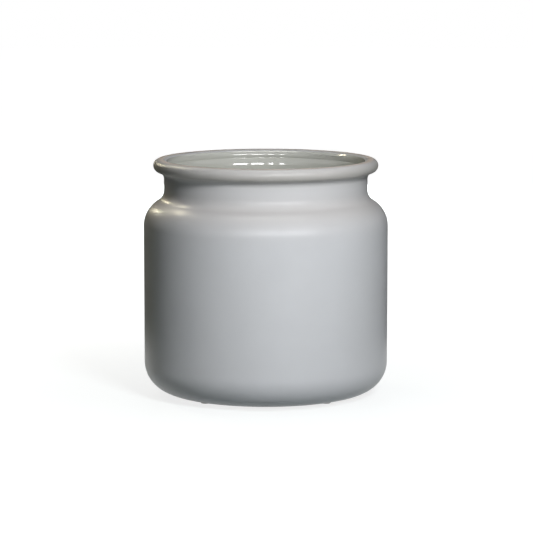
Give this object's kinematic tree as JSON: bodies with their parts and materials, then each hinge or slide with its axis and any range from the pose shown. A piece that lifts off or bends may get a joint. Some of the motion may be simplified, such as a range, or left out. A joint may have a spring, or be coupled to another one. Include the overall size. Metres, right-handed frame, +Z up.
{
  "type": "jar planter",
  "caption": "Plain jar-shaped glazed stoneware planter with a round shoulder, a short waisted neck and a rolled rim, open at the top, on small soft pads.",
  "frame": {"origin": "on the jar's axis, in the plane that the pads stand on", "axes": "+Z up along the jar's axis; the jar is the same all round, so +X and +Y are free, with the pads on the diagonals between them"},
  "size_m": [0.24, 0.24, 0.2326],
  "materials": {
    "stoneware": "matte",
    "matt_glaze": "satin",
    "gloss_glaze": "gloss",
    "pad": "matte"
  },
  "bodies": {
    "root": {"stoneware_body": "stoneware", "outer_matt_glaze": "matt_glaze", "inner_gloss_glaze": "gloss_glaze", "foot_pad_1": "pad", "foot_pad_2": "pad", "foot_pad_3": "pad", "foot_pad_4": "pad"}
  },
  "joints": []
}
